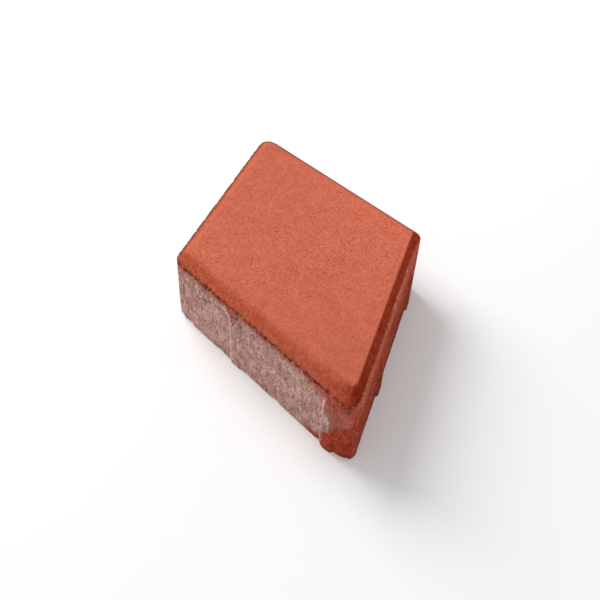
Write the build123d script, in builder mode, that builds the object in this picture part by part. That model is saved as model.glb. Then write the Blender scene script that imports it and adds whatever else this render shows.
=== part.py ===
# Diamond paving stone of cast concrete, with a bevelled upper rim and joint ribs
# Millimetres; +Z up. The origin is the centre of the underside, +X points at a sharp corner.
from build123d import *
import math
import os

os.makedirs("parts", exist_ok=True)

# Plan shape
SIDE = 190.0
SHARP_CORNER = 60.0
CORNER_RADIUS = 8.0

# Height and rim; the upper face inside the rim has corners of its own radius
THICKNESS = 60.0
RIM = 7.0
FACE_CORNER_RADIUS = 5.5

# Joint ribs, two on each side, placed so that those of neighbouring stones pass each other
RIB_SHARES = (3 / 8, 7 / 8)
RIB_WIDTH = 12.0
RIB_CREST_WIDTH = 9.0
RIB_PROUD = 2.0
RIB_BELOW_ARRIS = 4.0
RIB_TOP_SLOPE = 7.0
ARRIS_HEIGHT = THICKNESS - RIM
RIB_HEIGHT = ARRIS_HEIGHT - RIB_BELOW_ARRIS
RIB_CREST_HEIGHT = RIB_HEIGHT - RIB_TOP_SLOPE

# Corners in turn, anticlockwise from the blunt corner on -Y
REACH_X = SIDE * math.cos(math.radians(SHARP_CORNER / 2))
REACH_Y = SIDE * math.sin(math.radians(SHARP_CORNER / 2))
corners = [(0, -REACH_Y), (REACH_X, 0), (0, REACH_Y), (-REACH_X, 0)]
headings = [SHARP_CORNER / 2, 180 - SHARP_CORNER / 2, 180 + SHARP_CORNER / 2, -SHARP_CORNER / 2]

# Corners of the upper face, each of its sides set in from the stone's side by the rim
SIDE_FROM_CENTRE = SIDE * math.sin(math.radians(SHARP_CORNER)) / 2
face_share = 1 - RIM / SIDE_FROM_CENTRE
face_corners = [(x * face_share, y * face_share) for x, y in corners]

with BuildPart() as paving_stone:
    # Block with rounded upright corners
    with BuildSketch(Plane.XY) as plan:
        with BuildLine():
            Polyline(*corners, close=True)
        make_face()
        fillet(plan.vertices(), radius=CORNER_RADIUS)
    extrude(amount=ARRIS_HEIGHT)

    # Bevelled rim, rising from the arris to the upper face
    with BuildSketch(Plane.XY.offset(ARRIS_HEIGHT)) as arris:
        with BuildLine():
            Polyline(*corners, close=True)
        make_face()
        fillet(arris.vertices(), radius=CORNER_RADIUS)
    with BuildSketch(Plane.XY.offset(THICKNESS)) as upper_face:
        with BuildLine():
            Polyline(*face_corners, close=True)
        make_face()
        fillet(upper_face.vertices(), radius=FACE_CORNER_RADIUS)
    loft(ruled=True)

    # Joint ribs up the sides, narrowing to their crest and sloping off at the top
    for corner, heading in zip(corners, headings):
        along = Vector(1, 0, 0).rotate(Axis.Z, heading)
        outward = Vector(0, -1, 0).rotate(Axis.Z, heading)
        side_face = Plane(origin=corner, x_dir=along, z_dir=outward)
        for share in RIB_SHARES:
            with BuildSketch(side_face):
                with Locations((share * SIDE, RIB_HEIGHT / 2)):
                    Rectangle(RIB_WIDTH, RIB_HEIGHT)
            with BuildSketch(side_face.offset(RIB_PROUD)):
                with Locations((share * SIDE, RIB_CREST_HEIGHT / 2)):
                    Rectangle(RIB_CREST_WIDTH, RIB_CREST_HEIGHT)
            loft()

paving_stone.part.label = "paving_stone"
export_step(paving_stone.part, "parts/paving_stone.step")
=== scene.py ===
"""Dresses the diamond paving stone: its worn casting, its coloured concrete and a plain studio round it."""

import logging
import math
import random
from dataclasses import dataclass, replace
from enum import Enum, IntEnum, auto
from typing import NamedTuple

import bmesh
import bpy
from mathutils import Matrix, Vector, noise

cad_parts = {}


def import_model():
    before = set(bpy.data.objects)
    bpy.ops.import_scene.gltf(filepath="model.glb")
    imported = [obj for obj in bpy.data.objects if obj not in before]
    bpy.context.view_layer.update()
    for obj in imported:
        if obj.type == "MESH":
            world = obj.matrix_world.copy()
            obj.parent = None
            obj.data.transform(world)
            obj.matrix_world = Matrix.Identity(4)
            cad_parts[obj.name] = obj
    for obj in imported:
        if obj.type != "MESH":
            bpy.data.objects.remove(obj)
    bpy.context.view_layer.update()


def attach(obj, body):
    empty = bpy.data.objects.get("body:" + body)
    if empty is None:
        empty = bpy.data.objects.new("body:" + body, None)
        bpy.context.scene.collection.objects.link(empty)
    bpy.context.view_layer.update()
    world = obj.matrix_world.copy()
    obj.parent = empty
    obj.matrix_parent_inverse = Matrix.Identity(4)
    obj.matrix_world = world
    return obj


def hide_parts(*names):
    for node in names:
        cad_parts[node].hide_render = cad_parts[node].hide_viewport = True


LOG = logging.getLogger("paving_stone")
MM = 0.001
HAIR = 0.01 * MM
WELD = 0.001 * MM

Colour = tuple[float, float, float, float]
SideValues = tuple[float, float, float, float]
Socket = bpy.types.NodeSocket
Points = list[bmesh.types.BMVert]
Edges = list[bmesh.types.BMEdge]


class Side(IntEnum):
    """The four upright sides, named by the way they face with +X east and +Y north."""

    SOUTH_EAST = 0
    NORTH_EAST = 1
    NORTH_WEST = 2
    SOUTH_WEST = 3


class Band(Enum):
    """The parts of the casting's skin, which wear and colour treat apart."""

    UNDERSIDE = auto()
    WALL = auto()
    CROWN = auto()


def smooth_step(low: float, high: float, value: float) -> float:
    """Eases from 0 to 1 between two limits.

    Args:
        low: Value at which the result leaves 0.
        high: Value at which the result reaches 1; it may lie below low.
        value: Value to place between them.

    Returns:
        The eased share, from 0 to 1.
    """
    share = min(1.0, max(0.0, (value - low) / (high - low)))
    return share * share * (3.0 - 2.0 * share)


def window(value: float, rise: tuple[float, float], fall: tuple[float, float]) -> float:
    """Gives 1 between a rise and a fall, eased over both."""
    return smooth_step(rise[0], rise[1], value) * smooth_step(fall[1], fall[0], value)


def bell(distance: float, width: float) -> float:
    """Gives 1 at a line and falls off evenly to both sides of it."""
    return math.exp(-((distance / width) ** 2))


def soft_least(first: float, second: float, width: float) -> float:
    """Takes the lesser of two values, with the crossing rounded over a width."""
    share = min(1.0, max(0.0, 0.5 + 0.5 * (second - first) / width))
    return second + (first - second) * share - width * share * (1.0 - share)


def grain(point: Vector, size: float, seed: float) -> float:
    """Reads smooth noise, from about -1 to 1, whose lumps are of a given size."""
    return noise.noise(point / size + Vector((seed, seed * 1.7, seed * 0.6)))


class Hollows(NamedTuple):
    """Shallow hollows scattered over the skin; lengths in metres."""

    size: float
    seed: float
    least: float
    depth: float

    def at(self, point: Vector) -> float:
        """Gives the hollows' depth at a point."""
        return max(0.0, grain(point, self.size, self.seed) - self.least) * self.depth


class Spot(NamedTuple):
    """A place on the stone's plan, with the say that each of the four sides has there."""

    side: int
    along: float
    inset: float
    outward: Vector
    shares: SideValues

    def mixed(self, values: tuple[float, ...]) -> float:
        """Mixes a value that each side has, by the sides' say here."""
        return sum(share * value for share, value in zip(self.shares, values))


@dataclass(frozen=True)
class StoneSizes:
    """Real sizes of the casting, in metres."""

    side: float = 190.0 * MM
    sharp_corner: float = math.radians(60.0)
    corner_radius: float = 8.0 * MM
    height: float = 60.0 * MM
    rim: float = 7.0 * MM
    face_corner_radius: float = 5.5 * MM
    rib_shares: tuple[float, float] = (3 / 8, 7 / 8)
    rib_half_foot: float = 6.0 * MM
    rib_half_crest: float = 4.5 * MM
    rib_proud: float = 2.0 * MM
    rib_height: float = 49.0 * MM
    rib_crest_height: float = 42.0 * MM

    @property
    def arris(self) -> float:
        """Height of the edge between the sides and the rim."""
        return self.height - self.rim

    @property
    def face_side(self) -> float:
        """Side of the upper face, before its corners are rounded."""
        return self.side - 2.0 * self.rim / math.sin(self.sharp_corner)


@dataclass(frozen=True)
class MeshSteps:
    """How finely the casting is divided; gaps between rings in metres."""

    per_side: int = 320
    sharp_arc: int = 16
    blunt_arc: int = 8
    foot_rings: int = 6
    foot_height: float = 4.0 * MM
    wall_rings: int = 30
    top_rings: int = 13
    top_depth: float = 7.0 * MM
    rim_rings: int = 12
    face_gaps: tuple[float, ...] = (0.6 * MM, 0.35 * MM)
    inner_gap: float = 0.8 * MM
    under_gaps: tuple[float, ...] = (3.0 * MM, 2.5 * MM)


class Plan:
    """A rounded diamond seen from above, and where a point stands on it."""

    def __init__(self, side: float, sharp_corner: float, radius: float) -> None:
        """Works out corners, headings and corner centres.

        Args:
            side: Length of each side, before the corners are rounded.
            sharp_corner: Angle of the two sharp corners.
            radius: Radius of all four corners.
        """
        self.side, self.radius = side, radius
        reach_x = side * math.cos(sharp_corner / 2)
        reach_y = side * math.sin(sharp_corner / 2)
        self.corners = [Vector(place) for place in ((0, -reach_y), (reach_x, 0), (0, reach_y), (-reach_x, 0))]
        self.headings = [(self.corners[(i + 1) % 4] - self.corners[i]).normalized() for i in range(4)]
        self.outwards = [Vector((h.y, -h.x)) for h in self.headings]
        self.turns = [math.pi - sharp_corner if i % 2 else sharp_corner for i in range(4)]
        self.centres = []
        for index, corner in enumerate(self.corners):
            inward = -(self.outwards[index - 1] + self.outwards[index]).normalized()
            self.centres.append(corner + inward * radius / math.cos(self.turns[index] / 2))

    def locate(self, x: float, y: float) -> Spot:
        """Finds the nearest side of a point, and how far the point is from the outline.

        Args:
            x: Place along the long diagonal.
            y: Place along the short diagonal.

        Returns:
            The side, the distance along it from its first corner, the inset from the outline, the outline's
            outward direction there, and how far each of the four sides has a say there.
        """
        point = Vector((x, y))
        for index, centre in enumerate(self.centres):
            arm = point - centre
            if arm.dot(self.headings[index - 1]) > 0 and arm.dot(self.headings[index]) < 0:
                reach = arm.length
                outward = arm / reach if reach > 1e-9 else self.outwards[index]
                turned = math.acos(min(1.0, max(-1.0, outward.dot(self.outwards[index - 1]))))
                share = turned / self.turns[index]
                shares = [0.0] * 4
                shares[index - 1] = 1.0 - share
                shares[index] += share
                side = index if share > 0.5 else (index - 1) % 4
                along = (point - self.corners[side]).dot(self.headings[side])
                return Spot(side, along, self.radius - reach, outward, tuple(shares))
        depths = [-(point - self.corners[i]).dot(self.outwards[i]) for i in range(4)]
        side = min(range(4), key=lambda i: depths[i])
        along = (point - self.corners[side]).dot(self.headings[side])
        shares = tuple(1.0 if i == side else 0.0 for i in range(4))
        return Spot(side, along, depths[side], self.outwards[side], shares)

    def match(self, other: "Plan", point: Vector) -> Vector:
        """Finds where a point of this outline lies on another outline with the same headings.

        Args:
            other: The other rounded diamond.
            point: A point on this outline.

        Returns:
            The matching point: at the same turn of a corner, or the same share of a straight.
        """
        place = point.to_2d()
        spot = self.locate(place.x, place.y)
        for centre, target in zip(self.centres, other.centres):
            if abs((place - centre).length - self.radius) < WELD:
                return (target + spot.outward * other.radius).to_3d()
        start, end = self.centres[spot.side], self.centres[(spot.side + 1) % 4]
        share = (place - start).dot(self.headings[spot.side]) / (end - start).length
        first, last = other.centres[spot.side], other.centres[(spot.side + 1) % 4]
        return (first.lerp(last, share) + spot.outward * other.radius).to_3d()


@dataclass(frozen=True)
class Chip:
    """A small piece broken out of a side or an edge; lengths in millimetres."""

    along: float
    height: float
    radius: float
    depth: float
    stretch: float = 1.0

    def bite(self, along: float, height: float) -> float:
        """Measures the hollow that the chip leaves.

        Args:
            along: Place along the chip's side, in metres.
            height: Height above the floor, in metres.

        Returns:
            The depth taken out there, in metres.
        """
        far = math.hypot((along / MM - self.along) / self.stretch, height / MM - self.height) / self.radius
        return self.depth * MM * (1.0 - far * far) ** 2 if far < 1.0 else 0.0


def chips(*rows: tuple[float, ...]) -> tuple[Chip, ...]:
    """Makes chips from rows of place along, height, radius and depth."""
    return tuple(Chip(*row) for row in rows)


CHIPS: dict[Side, tuple[Chip, ...]] = {
    Side.SOUTH_EAST: chips(
        (115.5, 0.0, 4.5, 1.3), (52.0, 0.0, 5.5, 0.9), (13.0, 0.0, 7.0, 1.5), (3.0, 0.0, 6.0, 1.6),
        (84.0, 0.0, 3.5, 0.7), (179.0, 0.0, 12.0, 1.6), (160.0, 0.0, 4.5, 1.1), (169.0, 17.0, 1.7, 1.0),
        (171.0, 13.8, 1.6, 0.9),
    ),
    Side.NORTH_EAST: (),
    Side.NORTH_WEST: chips((61.0, 0.0, 6.0, 1.4)),
    Side.SOUTH_WEST: chips((47.0, 0.0, 5.0, 1.2)),
}

PLACED_PITS: dict[Side, tuple[Chip, ...]] = {
    Side.SOUTH_EAST: chips(
        (5.0, 51.8, 2.0, 1.2), (13.0, 51.2, 2.4, 1.3), (20.0, 51.2, 2.0, 1.1), (25.5, 51.4, 2.3, 1.2),
        (37.0, 51.4, 2.4, 1.3), (41.5, 51.8, 1.8, 1.0), (52.0, 51.7, 2.0, 1.1), (61.0, 51.6, 1.9, 1.0),
        (98.0, 51.2, 1.7, 1.1), (103.0, 51.3, 1.3, 1.0), (108.0, 51.1, 1.8, 1.1), (123.0, 51.4, 1.4, 1.1),
        (128.0, 51.3, 2.0, 1.5), (134.0, 51.4, 1.5, 1.2), (143.0, 51.2, 1.8, 1.4), (146.0, 51.1, 1.6, 1.3),
        (151.5, 51.2, 1.9, 1.4), (154.5, 51.3, 1.4, 1.1), (158.0, 51.4, 1.2, 1.0), (162.5, 51.3, 1.4, 1.2),
        (169.0, 51.4, 1.3, 1.1), (172.5, 51.4, 1.4, 1.2), (176.5, 51.4, 1.4, 1.2), (181.0, 51.3, 1.5, 1.2),
    ),
    Side.NORTH_EAST: chips(
        (5.0, 52.9, 2.2, 1.7), (10.0, 53.4, 1.5, 1.0), (18.0, 53.2, 1.6, 1.1), (23.5, 53.2, 1.9, 1.2)
    ),
    Side.NORTH_WEST: (),
    Side.SOUTH_WEST: (),
}


@dataclass(frozen=True)
class PitDraw:
    """How the pits under the arris are drawn where none is placed; spans in millimetres."""

    seed: int = 11
    placed_stretch: tuple[float, float] = (0.7, 1.4)
    run: tuple[float, float] = (4.0, 186.0)
    step: tuple[float, float] = (2.5, 11.0)
    radius: tuple[float, float] = (0.7, 1.6)
    stretch: tuple[float, float] = (0.9, 2.2)
    height: tuple[float, float] = (51.6, 52.6)
    depth_share: float = 0.7
    apart: float = 3.0

    def pits(self) -> list[list[Chip]]:
        """Gathers the small pits along the arris.

        Returns:
            For each side, the placed pits and drawn ones between them; the north-east side has no drawn ones.
        """
        dice = random.Random(self.seed)
        pits = []
        for side in Side:
            placed = PLACED_PITS[side]
            pits.append([replace(pit, stretch=dice.uniform(*self.placed_stretch)) for pit in placed])
        for side, row in zip(Side, pits):
            along, end = self.run
            while along < end:
                along += dice.uniform(*self.step)
                spans = (self.radius, self.stretch, self.height)
                radius, stretch, height = (dice.uniform(*span) for span in spans)
                clear = all(abs(along - other.along) > self.apart for other in row)
                if clear and side is not Side.NORTH_EAST:
                    row.append(Chip(along, height, radius, self.depth_share * radius, stretch))
        return pits


@dataclass(frozen=True)
class Wear:
    """How the casting left the mould and how it has worn since, side by side; lengths in metres."""

    rib_left: tuple[tuple[float, float], ...] = ((0.55, 1.0), (0.85, 0.65), (0.8, 0.9), (0.9, 0.7))
    shoulder: SideValues = (0.2 * MM, 2.1 * MM, 0.4 * MM, 0.15 * MM)
    shoulder_reach: float = 3.2 * MM
    shoulder_curve: float = 1.5
    arris_lift: SideValues = (0.0 * MM, 0.6 * MM, 0.5 * MM, 1.3 * MM)
    lift_reach: float = 8.0 * MM
    rim_inset: SideValues = (7.3 * MM, 6.7 * MM, 7.6 * MM, 8.2 * MM)
    rim_curve: SideValues = (1.15, 1.12, 0.85, 1.1)
    rim_blend: SideValues = (2.4 * MM, 0.6 * MM, 2.6 * MM, 2.2 * MM)
    crumble: SideValues = (1.5, 0.4, 0.8, 0.8)
    crumble_least: float = 0.12 * MM
    crumbs: tuple[Hollows, ...] = (
        Hollows(5.5 * MM, 3.1, 0.05, 0.9 * MM),
        Hollows(1.9 * MM, 8.3, 0.08, 1.2 * MM),
    )
    wall_crumble: float = 1.2 * MM
    rim_crumble: float = 0.9 * MM
    rim_pit: float = 0.7 * MM
    rim_pit_share: float = 0.6
    rim_drop: float = 0.35
    burr: SideValues = (0.0, 0.4 * MM, 0.2 * MM, 0.0)
    tip_burr: float = 0.35 * MM
    burr_below: float = 0.8 * MM
    burr_width: float = 0.5 * MM
    pit_reach: float = 4.0 * MM
    foot_round: float = 0.6 * MM
    streak_width: float = 1.5 * MM
    streak_length: float = 9.0 * MM
    streak_depth: float = 0.18 * MM
    wall_hollows: tuple[Hollows, ...] = (
        Hollows(2.2 * MM, 5.0, 0.0, 0.30 * MM),
        Hollows(22.0 * MM, 2.0, 0.0, 0.25 * MM),
        Hollows(3.1 * MM, 11.0, 0.42, 2.4 * MM),
    )
    crown_hollows: tuple[Hollows, ...] = (
        Hollows(2.6 * MM, 9.0, 0.1, 0.12 * MM),
        Hollows(30.0 * MM, 4.0, 0.0, 0.14 * MM),
    )


class Relief:
    """Moves the clean casting's skin to its ribs, rim, crumbled edges, chips and cast texture."""

    def __init__(self, sizes: StoneSizes, wear: Wear) -> None:
        """Keeps what the relief is worked out from.

        Args:
            sizes: Real sizes of the casting.
            wear: How each side has fared.
        """
        self.sizes = sizes
        self.wear = wear
        self.pits = PitDraw().pits()
        self.plan = Plan(sizes.side, sizes.sharp_corner, sizes.corner_radius)
        self.face = Plan(sizes.face_side, sizes.sharp_corner, sizes.face_corner_radius)

    def rim_inset(self, point: Vector, spot: Spot) -> float:
        """Measures inwards from the outline so that the upper face starts at the rim's width, at corners too.

        Args:
            point: Its place on the clean casting.
            spot: The same place on the plan.

        Returns:
            The distance, in metres.
        """
        past = self.face.locate(point.x, point.y).inset
        if past >= 0.0:
            return self.sizes.rim + past
        return self.sizes.rim * spot.inset / (spot.inset - past)

    def shoulder(self, point: Vector, spot: Spot) -> float:
        """Gives how far the arris stands back from the side; it fades out at the blunt corners."""
        blunt = abs(self.plan.corners[0].y)
        return spot.mixed(self.wear.shoulder) * smooth_step(blunt - 1.0 * MM, blunt - 10.0 * MM, abs(point.y))

    def rib(self, spot: Spot, height: float) -> float:
        """Gives how far a joint rib stands out at a place on a side.

        Args:
            spot: Place on the plan.
            height: Height above the floor.

        Returns:
            The rib's stand-out, in metres.
        """
        sizes = self.sizes
        flank = sizes.rib_half_foot - sizes.rib_half_crest
        slope = max(0.0, (sizes.rib_height - height) / (sizes.rib_height - sizes.rib_crest_height))
        best = 0.0
        for share, left in zip(sizes.rib_shares, self.wear.rib_left[spot.side]):
            across = abs(spot.along - share * sizes.side)
            if across < sizes.rib_half_foot:
                level = min(1.0, (sizes.rib_half_foot - across) / flank, slope)
                best = max(best, level * left * sizes.rib_proud)
        return best

    def crumble(self, point: Vector, spot: Spot) -> float:
        """Gives how far the arris has crumbled back at a place along it.

        Args:
            point: Its place on the clean casting.
            spot: The same place on the plan.

        Returns:
            The depth, in metres.
        """
        level = spot.mixed(self.wear.crumble)
        if spot.side == Side.SOUTH_EAST:
            level *= 1.0 + 0.35 * smooth_step(72.0 * MM, 50.0 * MM, spot.along)
        return level * (self.wear.crumble_least + sum(crumb.at(point) for crumb in self.wear.crumbs))

    def pit(self, spot: Spot, height: float) -> float:
        """Gives the depth of the arris pits at a place on a side.

        Args:
            spot: Place on the plan.
            height: Height above the floor.

        Returns:
            The depth, in metres.
        """
        if abs(height - self.sizes.arris) > self.wear.pit_reach:
            return 0.0
        return max((pit.bite(spot.along, height) for pit in self.pits[spot.side]), default=0.0)

    def burr(self, point: Vector, spot: Spot) -> float:
        """Gives the height of the broken burr that runs along the arris, round the sharp corner on +X too.

        Args:
            point: Its place on the clean casting.
            spot: The same place on the plan.

        Returns:
            The height, in metres.
        """
        level = spot.mixed(self.wear.burr)
        if spot.side == Side.SOUTH_EAST:
            level = max(level, self.wear.tip_burr * smooth_step(174.0 * MM, 182.0 * MM, spot.along))
        return level * smooth_step(-0.35, 0.25, grain(Vector((point.x, point.y, 0.0)), 2.6 * MM, 17.0))

    def wall(self, point: Vector, spot: Spot) -> Vector:
        """Places a point of the upright sides.

        Args:
            point: Its place on the clean casting.
            spot: The same place on the plan.

        Returns:
            Its place on the worn casting.
        """
        wear, height = self.wear, point.z
        below = self.sizes.arris - height
        across = point / wear.streak_width
        streak = Vector((across.x, across.y, height / wear.streak_length))
        out = self.rib(spot, height)
        out -= (0.5 + 0.5 * noise.noise(streak)) * wear.streak_depth
        out -= sum(hollows.at(point) for hollows in wear.wall_hollows)
        near_arris = smooth_step(wear.shoulder_reach, 0.0, below)
        out -= self.shoulder(point, spot) * near_arris**wear.shoulder_curve
        out -= self.crumble(point, spot) * bell(below, wear.wall_crumble)
        out += self.burr(point, spot) * bell(below - wear.burr_below, wear.burr_width)
        out -= self.pit(spot, height)
        foot = wear.foot_round * (0.7 + 0.9 * max(0.0, grain(point, 7.0 * MM, 6.0)))
        if height < foot:
            out -= foot - math.sqrt(max(0.0, foot * foot - (foot - height) ** 2))
        out -= sum(chip.bite(spot.along, height) for chip in CHIPS[spot.side])
        lift = spot.mixed(wear.arris_lift) * smooth_step(wear.lift_reach, 0.0, below)
        return point + Vector((spot.outward.x * out, spot.outward.y * out, lift))

    def crown(self, point: Vector, spot: Spot) -> Vector:
        """Places a point of the rim or the upper face.

        Args:
            point: Its place on the clean casting.
            spot: The same place on the plan.

        Returns:
            Its place on the worn casting.
        """
        sizes, wear = self.sizes, self.wear
        shoulder = self.shoulder(point, spot)
        low = sizes.arris + spot.mixed(wear.arris_lift)
        measured = self.rim_inset(point, spot)
        inset = measured
        if measured < sizes.rim:
            inset = shoulder + (sizes.rim - shoulder) * measured / sizes.rim
        past = inset - shoulder
        climb = max(0.0, past / (spot.mixed(wear.rim_inset) - shoulder))
        rise = (sizes.height - low) * climb ** spot.mixed(wear.rim_curve)
        height = soft_least(low + rise, sizes.height, spot.mixed(wear.rim_blend))
        height -= sum(hollows.at(point) for hollows in wear.crown_hollows)
        bite = self.crumble(Vector((point.x, point.y, sizes.arris)), spot) * bell(past, wear.rim_crumble)
        bite += wear.rim_pit_share * self.pit(spot, sizes.arris) * bell(past, wear.rim_pit)
        shift = measured - inset - bite
        return Vector((point.x, point.y, height - wear.rim_drop * bite)) + spot.outward.to_3d() * shift


@dataclass(frozen=True)
class Place:
    """A place on the casting's skin as its colours follow it; the point in metres, lengths in millimetres."""

    point: Vector
    spot: Spot
    along: float
    height: float
    below: float
    edge: Vector
    from_sharp: float
    from_blunt: float

    @property
    def side(self) -> int:
        """The side that the place is on or nearest to."""
        return self.spot.side


@dataclass(frozen=True)
class Patch:
    """A soft-edged patch of colour on one of the sides; lengths in millimetres."""

    along: float
    height: float
    half_width: float
    half_height: float
    strength: float = 1.0

    def at(self, here: Place) -> float:
        """Gives how strongly the patch shows.

        Args:
            here: A place on the patch's side.

        Returns:
            Its strength there.
        """
        across = (here.along - self.along) / self.half_width
        up = (here.height - self.height) / self.half_height
        return self.strength * smooth_step(1.25, 0.55, math.hypot(across, up))


def strongest(patches: dict[Side, tuple[Patch, ...]], here: Place) -> float:
    """Gives the strength of the strongest patch at a place."""
    return max((patch.at(here) for patch in patches.get(here.side, ())), default=0.0)


@dataclass(frozen=True)
class Marks:
    """Where the colours lie: a value for each side in turn where there are four, lengths in millimetres."""

    facing_run: SideValues = (0.0, 1.0, 0.55, 0.0)
    facing_depth: SideValues = (6.0, 6.0, 17.0, 6.0)
    rim_width: SideValues = (11.0, 6.9, 7.8, 10.5)
    rim_fade: SideValues = (7.5, 0.9, 3.4, 6.5)
    # The rim's depth of red per side is partly painted light and shade; tip_shade is painted shade on the rim
    # by the sharp corners.
    rim_deep_and_shaded: SideValues = (0.48, 1.0, 0.7, 0.0)
    tip_shade: SideValues = (0.0, 0.16, 0.1, 0.1)
    open_line: SideValues = (0.46, 0.0, 0.8, 1.0)
    open_line_edge: SideValues = (0.60, 0.0, 0.0, 0.0)
    crown_open: SideValues = (0.25, 0.8, 0.8, 0.8)
    crown_open_width: SideValues = (0.5, 0.8, 4.0, 4.6)
    under_grime: SideValues = (1.0, 0.0, 0.6, 0.6)
    seam_width: float = 0.6
    run_top: float = 52.6
    # Where the painted highlights on the ribs' lit flanks run.
    first_rib_line: float = 65.0
    second_rib_line: float = 161.6


class Tints:
    """Works out, point by point, where the facing, the red smear and the other colours lie."""

    NAMES = ("facing", "rim", "deep_red_and_shade", "painted_light", "stain", "ash", "burr_and_rib_highlight", "crumb", "grime_and_shade", "coarse")
    ASH: dict[Side, tuple[Patch, ...]] = {
        Side.SOUTH_EAST: (
            Patch(165.6, 28.4, 4.8, 7.0, 0.85),
            Patch(72.0, 26.0, 6.0, 28.0, 0.36),
            Patch(12.0, 46.0, 9.0, 6.0, 0.45),
        )
    }
    LIGHT: dict[Side, tuple[Patch, ...]] = {
        Side.SOUTH_EAST: (Patch(182.0, 40.0, 3.6, 9.0, 0.50), Patch(173.0, 34.0, 7.5, 10.0, 0.50))
    }
    GRIME: dict[Side, tuple[Patch, ...]] = {
        Side.SOUTH_EAST: (
            Patch(29.0, 42.0, 18.0, 9.0, 1.1),
            Patch(167.0, 44.0, 6.0, 7.0, 1.0),
            Patch(5.0, 26.0, 6.0, 22.0, 0.9),
            Patch(71.0, 46.0, 9.0, 9.0, 1.6),
            Patch(88.0, 44.0, 9.0, 7.0, 0.5),
            Patch(168.5, 28.0, 3.0, 7.0, 0.9),
            Patch(174.0, 33.0, 7.0, 9.0, 0.45),
        ),
        Side.NORTH_WEST: (Patch(120.0, 30.0, 35.0, 20.0, 0.8),),
    }
    UNDERSIDE = {"painted_light": 0.5, "grime_and_shade": 0.5, "coarse": 0.6}

    def __init__(self, relief: Relief, marks: Marks) -> None:
        """Keeps what the colours follow.

        Args:
            relief: The casting's relief.
            marks: Where the colours lie.
        """
        self.relief = relief
        self.marks = marks

    def place(self, point: Vector, spot: Spot) -> Place:
        """Measures a place on the skin.

        Args:
            point: Its place on the clean casting.
            spot: The same place on the plan.

        Returns:
            The place, with its distances from the arris and from two of the corners.
        """
        arris = self.relief.sizes.arris
        blunt, sharp = ((corner - point.to_2d()).length / MM for corner in self.relief.plan.corners[:2])
        edge = Vector((point.x, point.y, arris))
        return Place(point, spot, spot.along / MM, point.z / MM, (arris - point.z) / MM, edge, sharp, blunt)

    def facing(self, here: Place) -> float:
        """Gives 1 on the coloured facing and 0 on the sides below it, where it has run down more or less.

        Args:
            here: A place on a side.

        Returns:
            The facing's strength, from 0 to 1.
        """
        upper = smooth_step(-0.9, 0.1, 0.7 * grain(here.point, 3.0 * MM, 12.0) - here.below)
        depth = here.spot.mixed(self.marks.facing_depth) * (1.0 + 0.4 * grain(here.point, 16.0 * MM, 15.0))
        run = here.spot.mixed(self.marks.facing_run) * smooth_step(depth, 0.35 * depth, here.below)
        return max(upper, run, strongest(self.LIGHT, here))

    def rim(self, here: Place, inset: float) -> float:
        """Gives how far a place belongs to the darker, harder rubbed rim.

        Args:
            here: A place on the rim or the upper face.
            inset: Its distance from the outline.

        Returns:
            The rim's strength, from 0 to 1.
        """
        inner, soft, level = here.spot.mixed(self.marks.rim_width), here.spot.mixed(self.marks.rim_fade), 1.0
        if here.side == Side.SOUTH_EAST:
            wider = 5.0 * smooth_step(135.0, 172.0, here.along)
            inner, soft = inner + wider, soft + wider
            level = 1.0 - 0.30 * window(here.along, (20.0, 45.0), (150.0, 186.0))
        elif here.side == Side.NORTH_EAST:
            near = smooth_step(50.0, 15.0, here.along)
            inner, soft = inner + 0.5 * near, soft + 1.6 * near
        return level * smooth_step(inner, inner - soft, inset)

    def deep_red_and_shade(self, here: Place) -> float:
        """Gives how deep a red the rim has, partly painted light and shade: deepest on the north-east, which
        turns from the lamp, brightest on the south-west, which faces it.

        Args:
            here: A place on the skin.

        Returns:
            The depth, about 0 to 1.
        """
        level = here.spot.mixed(self.marks.rim_deep_and_shaded) + 0.20 * smooth_step(24.0, 12.0, here.from_sharp)
        if here.side == Side.SOUTH_EAST:
            level += 0.06 * smooth_step(120.0, 178.0, here.along) - 0.25 * smooth_step(60.0, 8.0, here.along)
        return level + 0.2 * grain(here.point, 9.0 * MM, 7.0)

    def stain(self, here: Place) -> float:
        """Gives how far the sides are smeared with red facing.

        Args:
            here: A place on a side.

        Returns:
            The smear's strength, about 0 to 1.
        """
        along, height = here.along, here.height
        if here.side == Side.NORTH_EAST:
            return 0.96 + 0.22 * grain(here.point, 13.0 * MM, 5.0)
        if here.side == Side.NORTH_WEST:
            return 0.9 * smooth_step(70.0, 20.0, along + 14.0 * grain(here.point, 20.0 * MM, 3.0))
        reach = 6.0 + 2.4 * grain(here.point, 8.0 * MM, 23.0)
        reach += 8.0 * smooth_step(138.0, 158.0, along) + 1.2 * smooth_step(62.0, 50.0, along)
        low = self.marks.run_top - reach
        if here.side == Side.SOUTH_WEST:
            return max(0.35 * smooth_step(14.0, 2.0, along), 0.9 * smooth_step(low, 53.4, height))
        drip = 0.98 - 0.12 * window(along, (62.0, 80.0), (132.0, 146.0))
        drip *= max(0.0, min(1.0, (height - low) / reach))
        foot = smooth_step(9.0, 2.0, height) * smooth_step(140.0, 152.0, along)
        blunt = 0.8 * smooth_step(7.0, 2.0, along) * smooth_step(42.0, 50.0, height)
        # Painted shadow: red-dark beside the first rib's lit flank, near the rib's top.
        rib_painted_shadow = 0.70 * smooth_step(1.3, 0.4, math.hypot((along - 69.0) / 7.0, (height - 49.0) / 8.0))
        return max(drip, foot, blunt, rib_painted_shadow, self.tip_stain(here))

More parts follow.
